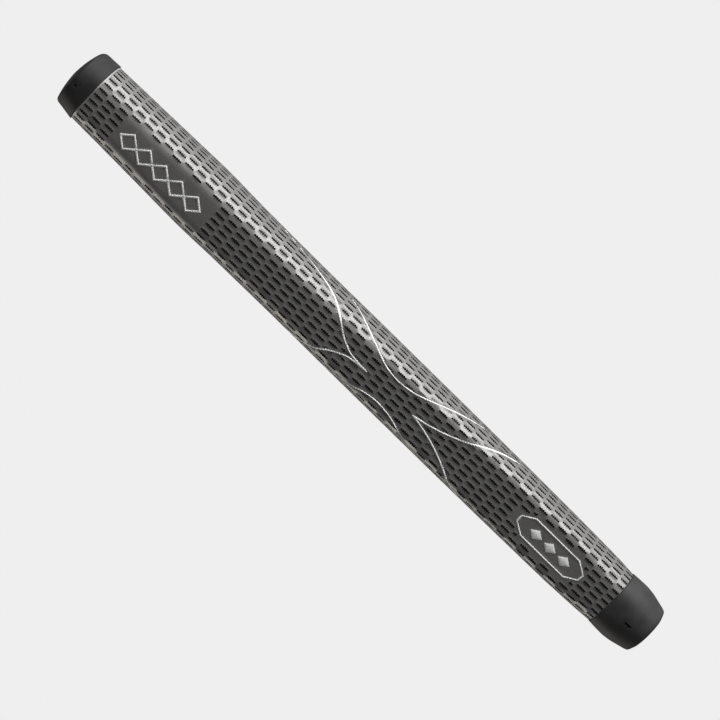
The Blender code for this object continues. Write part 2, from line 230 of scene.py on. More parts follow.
# Camera and light
CAMERA_AZIMUTH = 16.5
CAMERA_ELEVATION = 2.5
CAMERA_ROLL = 45.65
CAMERA_DISTANCE = 1.05
CAMERA_LENS = 157.6
CAMERA_NUDGE = (-0.00086, -0.00194)
BACKDROP = (0.863, 0.863, 0.863)
FLOOR_HEIGHT = -0.3
FLOOR_SIZE = 30.0
AMBIENT = 0.27
SOFTBOX_DISTANCE = 0.9
# Each softbox: azimuth, elevation, size (across, up), power and colour
SOFTBOXES = {
    "key_softbox": (82.5, -3.0, (0.34, 1.5), 34.0, (1.0, 1.0, 1.0)),
    "left_rim": (-98.0, 0.0, (0.30, 1.3), 7.0, (1.0, 0.93, 0.84)),
}

# The kinds of ground on the sheet, from the highest down, and each one's material. The dashes' and
# ghosts' materials are painted darker as painted shade.
LAND, GHOST, GROOVE, DASH = range(4)
KIND_DEPTH = (0.0, GHOST_DEPTH, GROOVE_DEPTH, DASH_DEPTH)
KIND_FINISH = (0, 2, 0, 1)
KINDS = len(KIND_DEPTH)

# The triangulator works in millimetres, and keeps what lies inside some outline
PLAN_SCALE = 1000.0
CDT_INSIDE = 1
CDT_TOLERANCE = 1e-5
rng = np.random.default_rng(20)


# ---- section law


def smooth_curve(stations, places):
    """A smooth curve through rows of (place, values...) that never overshoots them."""
    rows = np.array(sorted(stations), float)
    known, values = rows[:, 0], rows[:, 1:]
    slopes = np.diff(values, axis=0) / np.diff(known)[:, None]
    before, after = slopes[:-1], slopes[1:]
    same_way = before * after > 0.0
    total = np.where(same_way, before + after, 1.0)
    inner = np.where(same_way, 2.0 * before * after / total, 0.0)
    tangents = np.vstack([slopes[:1], inner, slopes[-1:]])
    places = np.clip(np.atleast_1d(places), known[0], known[-1])
    index = np.clip(np.searchsorted(known, places, side="right") - 1, 0, len(known) - 2)
    span = (known[index + 1] - known[index])[:, None]
    t = (places - known[index])[:, None] / span
    return (
        (2 * t**3 - 3 * t**2 + 1) * values[index]
        + (t**3 - 2 * t**2 + t) * span * tangents[index]
        + (3 * t**2 - 2 * t**3) * values[index + 1]
        + (t**3 - t**2) * span * tangents[index + 1]
    )


def read_profile():
    """Rows of (height, half width, depth behind the axis, distance to the flat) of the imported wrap."""
    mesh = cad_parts["skin_wrap"].data
    points = np.array([vertex.co for vertex in mesh.vertices])
    rows = []
    for height in np.unique(np.round(points[:, 2], 4)):
        ring = points[np.abs(points[:, 2] - height) < PROFILE_RING_BAND]
        half_width = np.abs(ring[:, 0]).max()
        rows.append((ring[:, 2].mean(), half_width, ring[:, 1].max(), -ring[:, 1].min()))
    return rows


PROFILE = read_profile()
WRAP_LOW = PROFILE[0][0] - MOUTH_GAP_TAKEN
WRAP_HIGH = PROFILE[-1][0]
BUTT_CAP_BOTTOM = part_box("butt_cap")[0].z
GRIP_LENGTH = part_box("butt_cap")[1].z
WRAP_TOP = BUTT_CAP_BOTTOM - TOP_EDGE_GAP
MOUTH_CAP_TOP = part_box("mouth_cap")[1].z


def section_radius(height, angle, inset=0.0, sharpness=EDGE_SHARPNESS):
    """Distance from the axis to the wrap: an ellipse behind, a flat-faced one in front."""
    half_width, back, flat = smooth_curve(PROFILE, height).T
    flat_half_width = smooth_curve(FLAT_HALF_WIDTHS, height)[:, 0]
    front = (flat - inset) / np.sqrt(1.0 - (flat_half_width / half_width) ** 2)
    sideways = np.sin(angle)
    forwards = np.cos(angle)
    depth = np.where(forwards > 0.0, front, back - inset)
    oval = 1.0 / np.hypot(sideways / (half_width - inset), forwards / depth)
    on_side = forwards * oval < 0.5 * (flat - inset)
    plane = (flat - inset) / np.where(on_side, 1.0, forwards)
    nearest = np.minimum(oval, plane)
    blend = (oval / nearest) ** -sharpness + (plane / nearest) ** -sharpness
    return np.where(on_side, oval, nearest * blend ** (-1.0 / sharpness))


def cap_radius(height, angle, oval_share, proud=CAP_PROUD):
    """The wrap's section a little further out, its flat front turned partly into an oval."""
    half_width, _, flat = smooth_curve(PROFILE, height).T
    section = section_radius(height, angle, -proud, CAP_SHARPNESS)
    forwards = np.cos(angle)
    oval = 1.0 / np.hypot(np.sin(angle) / (half_width + proud), forwards / (flat + proud))
    rounded = section + oval_share * (np.minimum(oval, section) - section)
    return np.where(forwards > 0.0, rounded, section)


def around(radius, angle, height):
    height = np.broadcast_to(height, np.shape(radius))
    return np.stack([radius * np.sin(angle), -radius * np.cos(angle), height], axis=-1)


TABLE_HEIGHTS = np.linspace(WRAP_LOW, WRAP_HIGH, 241)
TABLE_SHARES = np.linspace(0.0, 1.0, 801)
TABLE_ANGLES = np.linspace(0.0, math.pi, 1601)
# Keeps a reading inside the last cell of a table
LAST_CELL = 1.001
SURFACE_STEP = 0.00005


def make_girth_table():
    """For each table height, half the way round, and the angle at each share of it."""
    halves = []
    rows = []
    for height in TABLE_HEIGHTS:
        ring = around(section_radius(height, TABLE_ANGLES), TABLE_ANGLES, height)
        steps = np.diff(ring, axis=0)
        run = np.concatenate([[0.0], np.cumsum(np.linalg.norm(steps, axis=1))])
        halves.append(run[-1])
        rows.append(np.interp(TABLE_SHARES * run[-1], run, TABLE_ANGLES))
    return np.array(halves), np.array(rows)


HALF_GIRTHS, GIRTH_ANGLES = make_girth_table()


def half_girth(height):
    return np.interp(height, TABLE_HEIGHTS, HALF_GIRTHS)


def sheet_reach(height, clearance=0.0):
    """Girth at the sheet's long edge beside the seam, less a clearance."""
    return half_girth(height) - 0.5 * SEAM_GAP - clearance


def row_across(height, count, clearance=0.0):
    """Evenly spaced (girth, height) points across the sheet, from its -X edge to its +X edge."""
    reach = sheet_reach(height, clearance)
    return [(share * reach, height) for share in np.linspace(-1.0, 1.0, count)]


def angle_at(height, girth):
    """The angle round the axis at a height and a girth, read between the table's entries."""
    rows = (height - WRAP_LOW) / (WRAP_HIGH - WRAP_LOW) * (len(TABLE_HEIGHTS) - 1)
    rows = np.clip(rows, 0.0, len(TABLE_HEIGHTS) - LAST_CELL)
    share = np.clip(np.abs(girth) / half_girth(height), 0.0, 1.0)
    columns = np.minimum(share * (len(TABLE_SHARES) - 1), len(TABLE_SHARES) - LAST_CELL)
    row, column = rows.astype(int), columns.astype(int)
    down, over = rows - row, columns - column
    near = GIRTH_ANGLES[row, column] * (1 - over) + GIRTH_ANGLES[row, column + 1] * over
    far = GIRTH_ANGLES[row + 1, column] * (1 - over) + GIRTH_ANGLES[row + 1, column + 1] * over
    return np.copysign(near * (1 - down) + far * down, girth)


def place(height, girth):
    angle = angle_at(height, girth)
    return around(section_radius(height, angle), angle, height)


def surface(height, girth):
    """Points of the wrap's outside, and the unit directions that point out of it."""
    along = place(height + SURFACE_STEP, girth) - place(height - SURFACE_STEP, girth)
    across = place(height, girth + SURFACE_STEP) - place(height, girth - SURFACE_STEP)
    normals = np.cross(across, along)
    normals /= np.linalg.norm(normals, axis=1)[:, None]
    return place(height, girth), normals


# ---- outlines on the wrap
# Each outline is an array of (girth, height) points.


def branch(route):
    """A painted line's heights and girths, and how much its half width is stretched across."""
    ends = sorted((route[0][0], route[-1][0]))
    count = int(round((ends[1] - ends[0]) / LINE_STEP))
    heights = np.linspace(route[0][0], route[-1][0], count + 1)
    girths = smooth_curve(route, heights)[:, 0]
    slopes = np.gradient(girths, heights)
    fade = np.interp(girths, FLANK_GIRTHS, (1.0, FLANK_LINE_SHARE))
    return heights, girths, fade * np.hypot(1.0, slopes)


def flank_sink(girths):
    """How much deeper a groove and its paint lie where they run round the grip's +X side."""
    return np.interp(girths, FLANK_GIRTHS, (0.0, FLANK_SINK))


def line_edges(route, half_width):
    heights, girths, stretch = branch(route)
    edges = (girths + half_width * stretch, girths - half_width * stretch)
    return [np.stack([edge, heights], axis=1) for edge in edges]


def arc_outline(side, half_width):
    outer, inner = line_edges(ARC_ROUTE, half_width)
    return np.vstack([outer, inner[::-1]]) * (side, 1.0)


def vee_outline(route, half_width):
    """Both branches of a vee as one outline, with a rounded tip where they meet."""
    outer, inner = line_edges(route, half_width)
    away = math.copysign(1.0, route[0][0] - route[-1][0])
    extra = half_width - LINE_HALF_WIDTH
    tip = route[0][0] + away * (VEE_TIP_LENGTH + extra)
    shoulder = route[0][0] + away * (VEE_SHOULDER_SHARES[1] * VEE_TIP_LENGTH + extra)
    first = int(np.argmax(inner[:, 0] > 0.0))
    before, after = inner[first - 1], inner[first]
    share = -before[0] / (after[0] - before[0])
    crotch = before[1] + share * (after[1] - before[1])
    right = np.vstack([outer[::-1], [(VEE_SHOULDER_SHARES[0] * half_width, shoulder)]])
    inside = inner[first:]
    mirror = (-1.0, 1.0)
    return np.vstack(
        [right, [(0.0, tip)], right[::-1] * mirror, inside[::-1] * mirror, [(0.0, crotch)], inside]
    )


def chain_outlines(half_width):
    """The chain's outer outline and the diamond hole in each of its links."""
    link = (CHAIN_TOP - CHAIN_BOTTOM) / CHAIN_LINKS
    slope = CHAIN_HALF_WIDTH / (0.5 * link)
    reach = half_width * math.hypot(1.0, slope)
    point = reach / slope
    right = [(0.0, CHAIN_BOTTOM - point)]
    holes = []
    for number in range(CHAIN_LINKS):
        middle = CHAIN_BOTTOM + (number + 0.5) * link
        right.append((CHAIN_HALF_WIDTH + reach, middle))
        if number < CHAIN_LINKS - 1:
            right.append((reach, middle + 0.5 * link))
        holes.append(diamond_outline(middle, 0.5 * link - point, CHAIN_HALF_WIDTH - reach))
    right.append((0.0, CHAIN_TOP + point))
    left = [(-girth, height) for girth, height in right[-2:0:-1]]
    return np.array(right + left), holes


def diamond_outline(centre, half_length, half_width):
    corners = ((0.0, -half_length), (half_width, 0.0), (0.0, half_length), (-half_width, 0.0))
    return np.array(corners) + (0.0, centre)


def badge_outline(inset):
    """The badge's long eight-sided outline, moved in by inset."""
    run = BADGE_POINT_LENGTH
    rise = BADGE_HALF_WIDTH - BADGE_TIP_HALF_WIDTH
    slant = math.hypot(run, rise)
    half = BADGE_HALF_WIDTH - inset
    shoulder = BADGE_HALF_LENGTH - run + inset * (slant - rise) / run - inset
    shoulder = min(shoulder, BADGE_HALF_LENGTH - run)
    tip = BADGE_TIP_HALF_WIDTH - inset * (slant - run) / rise
    end = BADGE_HALF_LENGTH - inset
    quarter = [(tip, -end), (half, -shoulder), (half, shoulder), (tip, end)]
    points = quarter + [(-girth, height) for girth, height in reversed(quarter)]
    return np.array(points) + (0.0, BADGE_CENTRE)


def counter_clockwise(outline):
    girths, heights = outline[:, 0], outline[:, 1]
    area = np.sum(girths * np.roll(heights, -1) - np.roll(girths, -1) * heights)
    return outline if area > 0.0 else outline[::-1]


def painted_centres():
    """Points along every painted line, as (girth, height)."""
    points = []
    for route in (UPPER_VEE_ROUTE, LOWER_VEE_ROUTE, ARC_ROUTE):
        heights, girths, _ = branch(route)
        known = np.arange(len(heights))
        between = np.linspace(0, len(heights) - 1, 2 * len(heights))
        line = [np.interp(between, known, values) for values in (girths, heights)]
        points += [np.stack(line, axis=1) * (side, 1.0) for side in (1.0, -1.0)]
    return np.vstack(points)


PAINTED = painted_centres()


def line_distance(points):
    """Distance from each (girth, height) point to the nearest painted line's centre."""
    gaps = points[:, None, :] - PAINTED[None, :, :]
    return np.hypot(gaps[..., 0], gaps[..., 1]).min(axis=1)


def in_smooth_area(points):
    """True on the plain panel that carries the chain and inside the badge."""
    girths, heights = np.abs(points[:, 0]), points[:, 1]
    panel = (heights > PANEL_LOW) & (heights < PANEL_HIGH) & (girths < PANEL_HALF_WIDTH)
    along = np.abs(heights - BADGE_CENTRE)
    narrowing = (BADGE_HALF_WIDTH - BADGE_TIP_HALF_WIDTH) / BADGE_POINT_LENGTH
    into_point = np.maximum(along - (BADGE_HALF_LENGTH - BADGE_POINT_LENGTH), 0.0)
    width = BADGE_HALF_WIDTH - narrowing * into_point + BADGE_CLEARANCE
    badge = (along < BADGE_HALF_LENGTH + BADGE_CLEARANCE) & (girths < width)
    return panel | badge


def dash_edges(girth, height):
    """The two ragged edges of a dash: pointed lobes, smaller towards the ends."""
    count = 2 * DASH_LOBES
    widths = np.full(count + 1, DASH_NECK_HALF_WIDTH)
    widths[1::2] = DASH_LOBE_HALF_WIDTH * np.array(DASH_LOBE_SHARES)
    widths[[0, count]] = DASH_END_HALF_WIDTH
    heights = height + DASH_LENGTH * (np.arange(count + 1) / count - 0.5)
    edges = []
    for side in (-1.0, 1.0):
        wobble = rng.uniform(1.0 - DASH_RAGGEDNESS, 1.0 + DASH_RAGGEDNESS, count + 1)
        edges.append(skewed(np.stack([girth + side * widths * wobble, heights], axis=1)))
    return edges


def part_of_dash(edges, first, last):
    """The outline of a dash between two of its stations."""
    return np.vstack([edges[0][first : last + 1], edges[1][first : last + 1][::-1]])


def cut_dash(edges, low, high):
    """The part of a dash between two heights, where the sheet was cut through it."""
    sides = []
    for edge in edges:
        girths, heights = edge.T
        low_end, high_end = max(low, heights[0]), min(high, heights[-1])
        kept = edge[(heights > low_end + TOUCH) & (heights < high_end - TOUCH)]
        ends = [(np.interp(height, heights, girths), height) for height in (low_end, high_end)]
        sides.append(np.vstack([ends[:1], kept, ends[1:]]))
    return np.vstack([sides[0], sides[1][::-1]])


def column_heights():
    return smooth_curve(COLUMN_STATIONS, np.arange(DASH_COLUMNS, dtype=float))[:, 0]


def skewed(outline):
    """An outline drawn about the sheet's own centre line, moved to where the sheet lies."""
    outline = np.array(outline, float)
    outline[:, 0] += smooth_curve(SHEET_SKEW, outline[:, 1])[:, 0]
    return outline


def longest_run(free):
    """The first and last station of the longest stretch of whole lobes that is all free."""
    best = (0, 0)
    first = None
    for station in range(0, len(free), 2):
        if first is not None and free[station - 1] and free[station]:
            if station - first > best[1] - best[0]:
                best = (first, station)
        else:
            first = station if free[station] else None
    return best


def make_dashes():
    """Outlines of the dashes and of their ghosts: what is only faintly pressed in beside paint."""
    count = 2 * DASH_LOBES
    shares = np.arange(count + 1) / count - 0.5
    floor, ceiling = WRAP_LOW + SHEET_END_CLEARANCE, WRAP_TOP - SHEET_END_CLEARANCE
    dashes, ghosts, empty = [], [], []
    for column, height in enumerate(column_heights()):
        offset = 0.5 if column % 2 == 0 else 0.0
        skew = smooth_curve(SHEET_SKEW, height)[0, 0]
        reach = sheet_reach(height, DASH_SEAM_CLEARANCE)
        rows = int(reach / DASH_ROW_PITCH) + 2
        for row in range(-rows, rows + 1):
            girth = (row + offset) * DASH_ROW_PITCH
            if abs(girth + skew) > reach:
                continue
            heights = height + shares * DASH_LENGTH
            points = np.stack([np.full(count + 1, girth), heights], axis=1)
            smooth = in_smooth_area(points)
            free = (line_distance(points) > LINE_CLEARANCE) & ~smooth
            edges = dash_edges(girth, height)
            if heights[0] < floor or heights[-1] > ceiling:
                dashes.append(cut_dash(edges, floor, ceiling))
                continue
            first, last = longest_run(free)
            if last - first >= DASH_MIN_STATIONS:
                dashes.append(part_of_dash(edges, first, last))
            else:
                first, last = 0, 0
                empty.append((girth, height))
            if not free.all() and not smooth.any():
                rests = ((0, first), (last, count))
                ghosts += [part_of_dash(edges, *rest) for rest in rests if rest[1] > rest[0]]
    return dashes, ghosts, skewed(empty)


# ---- meshes


def triangulate(outlines, spare_points):
    """Triangles inside the outlines: points, triangles, and the outlines that hold each one."""
    coords = []
    faces = []
    for outline in outlines:
        faces.append(list(range(len(coords), len(coords) + len(outline))))
        coords.extend(counter_clockwise(outline))
    spare_start = len(coords)
    coords.extend(spare_points)
    coords = [Vector((PLAN_SCALE * x, PLAN_SCALE * y)) for x, y in coords]
    found = delaunay_2d_cdt(coords, [], faces, CDT_INSIDE, CDT_TOLERANCE, True)
    points = np.array([(v.x, v.y) for v in found[0]]) / PLAN_SCALE
    on_outline = np.array([not ids or min(ids) < spare_start for ids in found[3]])
    return points, np.array(found[2]), [set(ids) for ids in found[5]], on_outline


def edge_table(triangles):
    """Each edge once: (start, end, the triangle on its left, the one on its right or -1)."""
    sides = {}
    for index, corners in enumerate(triangles.tolist()):
        for edge in zip(corners, corners[1:] + corners[:1]):
            if edge[::-1] in sides:
                sides[edge[::-1]][1] = index
            else:
                sides[edge] = [index, -1]
    return [(*edge, *pair) for edge, pair in sides.items()]


def add_piece(name, points, faces, materials, replaces, normals=None, finishes=None):
    """A mesh piece that rides on the grip's only body. finishes picks each face's material."""
    mesh = bpy.data.meshes.new(name)
    mesh.from_pydata([tuple(point) for point in points], [], [tuple(face) for face in faces])
    mesh.validate()
    mesh.shade_smooth()
    if normals is None:
        mesh.set_sharp_from_angle(angle=math.radians(SHARP_DEGREES))
    else:
        mesh.normals_split_custom_set([tuple(normal) for normal in normals])
    for material in materials:
        mesh.materials.append(material)
    if finishes is not None:
        mesh.polygons.foreach_set("material_index", np.array(finishes, dtype=np.int32))
    obj = bpy.data.objects.new(name, mesh)
    bpy.context.scene.collection.objects.link(obj)
    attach(obj, "root")
    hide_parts(*replaces)
    return obj


def sheet_outline():
    """The wrap's edge as laid flat: along the mouth, up the seam, along the butt and back."""
    heights = np.linspace(WRAP_LOW, WRAP_TOP, SHEET_POINTS_ALONG)[1:-1]
    bottom = row_across(WRAP_LOW, SHEET_POINTS_ACROSS)
    top = row_across(WRAP_TOP, SHEET_POINTS_ACROSS)
    right = list(zip(sheet_reach(heights), heights))
    left = [(-girth, height) for girth, height in right]
    return np.array(bottom + right + top[::-1] + left[::-1])


def land_points(empty):
    """Extra points between the dashes, so that the land follows the grip's curve."""
    points = []
    heights = column_heights()
    for height in 0.5 * (heights[1:] + heights[:-1]):
        count = int(half_girth(height) / (0.5 * DASH_ROW_PITCH)) + 1
        points += [(0.5 * row * DASH_ROW_PITCH, height) for row in range(-count, count + 1)]
    for column, height in enumerate(heights):
        offset = 0.0 if column % 2 == 0 else 0.5
        count = int(half_girth(height) / DASH_ROW_PITCH) + 1
        for row in range(-count, count + 1):
            girth = (row + offset) * DASH_ROW_PITCH
            points += [(girth, height + shift) for shift in LAND_POINT_SHIFTS]
    unused = [(girth, height + shift) for girth, height in empty for shift in LAND_POINT_SHIFTS]
    points = np.vstack([skewed(points), unused])
    floor, ceiling = WRAP_LOW + SHEET_EDGE_BAND, WRAP_TOP - SHEET_EDGE_BAND
    girths, heights = points.T
    inside = (heights > floor) & (heights < ceiling)
    inside &= np.abs(girths) < sheet_reach(heights, SEAM_CLEARANCE)
    edge_rows = [row_across(height, SHEET_POINTS_ACROSS, SHEET_EDGE_BAND) for height in (floor, ceiling)]
    return np.vstack([points[inside], *edge_rows])


def groove_outlines():
    """Outlines of the grooves, and the outlines of the islands inside them."""
    chain, islands = chain_outlines(CHAIN_HALF_STROKE + GROOVE_MARGIN)
    grooves = [
        vee_outline(UPPER_VEE_ROUTE, LINE_HALF_WIDTH + GROOVE_MARGIN),
        vee_outline(LOWER_VEE_ROUTE, LINE_HALF_WIDTH + GROOVE_MARGIN),
        arc_outline(1.0, ARC_HALF_WIDTH + GROOVE_MARGIN),
        arc_outline(-1.0, ARC_HALF_WIDTH + GROOVE_MARGIN),
        chain,
        badge_outline(-GROOVE_MARGIN),
    ]
    islands.append(badge_outline(2.0 * BADGE_HALF_STROKE + GROOVE_MARGIN))
    return [skewed(groove) for groove in grooves], [skewed(island) for island in islands]


def wall_faces(start_column, end_column):
    """A wall between two columns of points, each listed from the top down."""
    if len(start_column) == 2 and len(end_column) == 2:
        return [[end_column[0], *start_column, end_column[1]]]
    foot = start_column[-1]
    faces = [[end_column[0], high, low] for high, low in zip(start_column, start_column[1:])]
    return faces + [[foot, low, high] for high, low in zip(end_column, end_column[1:])]


def badge_diamonds(extra):
    stretch = 1.0 + extra / BADGE_DIAMOND_HALF_WIDTH
    return [
        diamond_outline(
            BADGE_CENTRE + number * BADGE_DIAMOND_SPACING,
            BADGE_DIAMOND_HALF_LENGTH * stretch,
            BADGE_DIAMOND_HALF_WIDTH * stretch,
        )
        for number in (-1, 0, 1)
    ]


def sheet_plan():
    """The wrap laid flat: its points and triangles, and each triangle's kind of ground."""
    dashes, ghosts, empty = make_dashes()
    grooves, islands = groove_outlines()
    diamonds = [skewed(diamond) for diamond in badge_diamonds(GROOVE_MARGIN)]
    groups = {"sheet": [sheet_outline()], "dash": dashes, "groove": grooves}
    groups |= {"diamond": diamonds, "island": islands, "ghost": ghosts}
    labels = [label for label, group in groups.items() for _ in group]
    outlines = [outline for group in groups.values() for outline in group]
    places, triangles, owners, _ = triangulate(outlines, land_points(empty))
    kinds = np.full(len(triangles), -1)
    for index, ids in enumerate(owners):
        held = {labels[i] for i in ids}
        if "sheet" not in held:
            continue
        if "diamond" in held or ("groove" in held and "island" not in held):
            kinds[index] = GROOVE
        elif "dash" in held:
            kinds[index] = DASH
        else:
            kinds[index] = GHOST if "ghost" in held else LAND
    return places, triangles[kinds >= 0], kinds[kinds >= 0]


def rim_directions(points, outwards, rims):
    """For each point on a rim, the direction along the surface that leaves the land."""
    sides = np.zeros((len(points), 3))
    run = points[rims[:, 0]] - points[rims[:, 1]]
    facing = np.cross(outwards[rims[:, 0]], run)
    facing /= np.linalg.norm(facing, axis=1)[:, None]
    for corner in (0, 1):
        np.add.at(sides, rims[:, corner], facing)
    return sides


def make_skin(materials):
    """The wrap as one closed sheet, with its dashes and grooves sunk into the outside."""
    places, triangles, kinds = sheet_plan()
    keys = triangles * KINDS + kinds[:, None]
    used, flat_index = np.unique(keys, return_inverse=True)
    vertex_of = {key: index for index, key in enumerate(used)}
    used_kinds = used % KINDS
    girths, heights = places[used // KINDS].T
    points, outwards = surface(heights, girths)
    depths = np.array(KIND_DEPTH)[used_kinds]
    depths[used_kinds == GROOVE] += flank_sink(girths[used_kinds == GROOVE])

    walls, wall_finishes, rims, boundary = [], [], [], {}
    for start, end, left, right in edge_table(triangles):
        if right < 0:
            boundary[start] = (end, kinds[left])
        elif kinds[left] != kinds[right]:
            if kinds[left] > kinds[right]:
                start, end, left, right = end, start, right, left
            columns = []
            for corner in (start, end):
                levels = range(corner * KINDS + kinds[left], corner * KINDS + kinds[right] + 1)
                columns.append([vertex_of[key] for key in levels if key in vertex_of])
            faces = wall_faces(*columns)
            walls += faces
            wall_finishes += [KIND_FINISH[kinds[right]]] * len(faces)
            rims.append((columns[1][0], columns[0][0]))

    rim_side = rim_directions(points, outwards, np.array(rims))
    length = np.linalg.norm(rim_side, axis=1)
    on_rim = (length > TOUCH) & (used_kinds == LAND)
    shading = outwards.copy()
    shading[on_rim] += RIM_TILT * rim_side[on_rim] / length[on_rim][:, None]
    depths[on_rim] += RIM_DROP

    near_low = (heights < WRAP_LOW + TOUCH) & (used_kinds == LAND)
    near_high = (heights > WRAP_TOP - TOUCH) & (used_kinds == LAND)
    at_seam = (np.abs(girths) > sheet_reach(heights, TOUCH)) & (used_kinds == LAND)
    shading[near_low] -= (0.0, 0.0, SHEET_EDGE_TILT)
    shading[near_high] += (0.0, 0.0, SHEET_EDGE_TILT)
    depths[near_low | near_high | at_seam] = SHEET_EDGE_DROP
    shading /= np.linalg.norm(shading, axis=1)[:, None]
    points = points - outwards * depths[:, None]

    loop = [next(iter(boundary))]
    while boundary[loop[-1]][0] != loop[0]:
        loop.append(boundary[loop[-1]][0])
    inner_faces, inner_points, inner_of = inner_sheet(places[loop], len(points))
    edge_faces = []
    for near, start in enumerate(loop):
        end, kind = boundary[start]
        far = (near + 1) % len(loop)
        top = [vertex_of[end * KINDS + kind], vertex_of[start * KINDS + kind]]
        edge_faces.append([*top, inner_of[near], inner_of[far]])

    all_points = np.vstack([points, inner_points])
    normals = list(shading[flat_index.ravel()])
    for face in walls + edge_faces + inner_faces:
        first, second, third = all_points[face[:3]]
        normal = np.cross(second - first, third - first)
        normals.extend([normal / np.linalg.norm(normal)] * len(face))
    faces = flat_index.reshape(triangles.shape).tolist() + walls + edge_faces + inner_faces
    finishes = [KIND_FINISH[kind] for kind in kinds] + wall_finishes
    finishes += [KIND_FINISH[LAND]] * (len(faces) - len(finishes))
    slot, replaces = "polymer_skin", ["skin_wrap"]
    add_piece("skin_wrap_surface", all_points, faces, materials, replaces, normals, finishes)


def inner_sheet(rim, first):
    """The wrap's inner face, coarser than the outside but with the same edge."""
    spare = []
    for height in np.linspace(WRAP_LOW, WRAP_TOP, INNER_ROWS)[1:-1]:
        spare += row_across(height, INNER_POINTS_ACROSS, INNER_SEAM_CLEARANCE)
    places, triangles, owners, _ = triangulate([rim], spare)
    girths, heights = places.T
    points, outwards = surface(heights, girths)
    points -= outwards * WRAP_THICKNESS
    kept = [triangle for triangle, ids in zip(triangles, owners) if 0 in ids]
    faces = [[first + int(index) for index in triangle[::-1]] for triangle in kept]
    lookup = {tuple(np.round(place, 8)): first + index for index, place in enumerate(places)}
    index_of = [lookup[tuple(np.round(place, 8))] for place in rim]
    return faces, points, index_of


def make_inlay(piece, node, outline, holes, spine, material):
    """Paint laid in a groove: a closed film with a soft crown along its spine."""
    rings = [skewed(ring) for ring in (outline, *holes)]
    places, triangles, owners, on_outline = triangulate(rings, skewed(spine))
    triangles = triangles[np.array([ids == {0} for ids in owners])]
    used, flat_index = np.unique(triangles, return_inverse=True)
    triangles = flat_index.reshape(triangles.shape)
    girths, heights = places[used].T
    points, outwards = surface(heights, girths)
    sink = flank_sink(girths)
    top_depth = np.where(on_outline[used], PAINT_EDGE_DEPTH, PAINT_CROWN_DEPTH) + sink
    top = points - outwards * top_depth[:, None]
    bottom = points - outwards * (PAINT_BOTTOM_DEPTH + sink)[:, None]
    size = len(used)
    faces = triangles.tolist()
    faces += [[size + index for index in triangle[::-1]] for triangle in triangles]
    for start, end, _, right in edge_table(triangles):
        if right < 0:
            faces.append([end, start, size + start, size + end])
    add_piece(piece, np.vstack([top, bottom]), faces, [material], [node])


def line_spine(route, *sides):
    heights, girths, _ = branch(route)
    return [(side * girth, height) for side in sides for girth, height in zip(girths, heights)]


def make_paint(material):
    for name, route in (("upper_vee", UPPER_VEE_ROUTE), ("lower_vee", LOWER_VEE_ROUTE)):
        outline = vee_outline(route, LINE_HALF_WIDTH)
        spine = line_spine(route, 1.0, -1.0)
        make_inlay(f"{name}_paint", f"{name}_line", outline, [], spine, material)
    for name, side in (("right_arc", 1.0), ("left_arc", -1.0)):
        outline = arc_outline(side, ARC_HALF_WIDTH)
        spine = line_spine(ARC_ROUTE, side)
        make_inlay(f"{name}_paint", f"{name}_line", outline, [], spine, material)
    chain, holes = chain_outlines(CHAIN_HALF_STROKE)
    spine = densify(chain_outlines(0.0)[0], SPINE_STEP)
    make_inlay("diamond_chain_paint", "diamond_chain", chain, holes, spine, material)
    spine = densify(badge_outline(BADGE_HALF_STROKE), SPINE_STEP)
    hole = badge_outline(2.0 * BADGE_HALF_STROKE)
    make_inlay("badge_frame_paint", "badge_frame", badge_outline(0.0), [hole], spine, material)
    for number, outline in enumerate(badge_diamonds(0.0), start=1):
        centre = outline.mean(axis=0)
        spine = densify(centre + DIAMOND_SPINE_SHARE * (outline - centre), DIAMOND_SPINE_STEP)
        name = f"badge_diamond_{number}"
        make_inlay(f"{name}_paint", name, outline, [], spine, material)


def densify(outline, step):
    """Points along a closed outline, about a step apart."""
    points = []
    for start, end in zip(outline, np.roll(outline, -1, axis=0)):
        count = max(1, int(np.linalg.norm(end - start) / step))
        points += [tuple(start + (end - start) * share / count) for share in range(count)]
    return points


def ring_faces(rings, sides):
    faces = []
    for index in range(rings):
        first, second = index * sides, (index + 1) % rings * sides
        for side in range(sides):
            beside = (side + 1) % sides
            faces.append((first + side, first + beside, second + beside, second + side))
    return faces


TURN = np.linspace(0.0, math.tau, CAP_SIDES, endpoint=False)


def circle(radius, height):
    return around(np.full(CAP_SIDES, radius), TURN, height)


def bore_radius(height):
    return BORE_RADIUS_MOUTH + (BORE_RADIUS_BUTT - BORE_RADIUS_MOUTH) * height / BORE_END


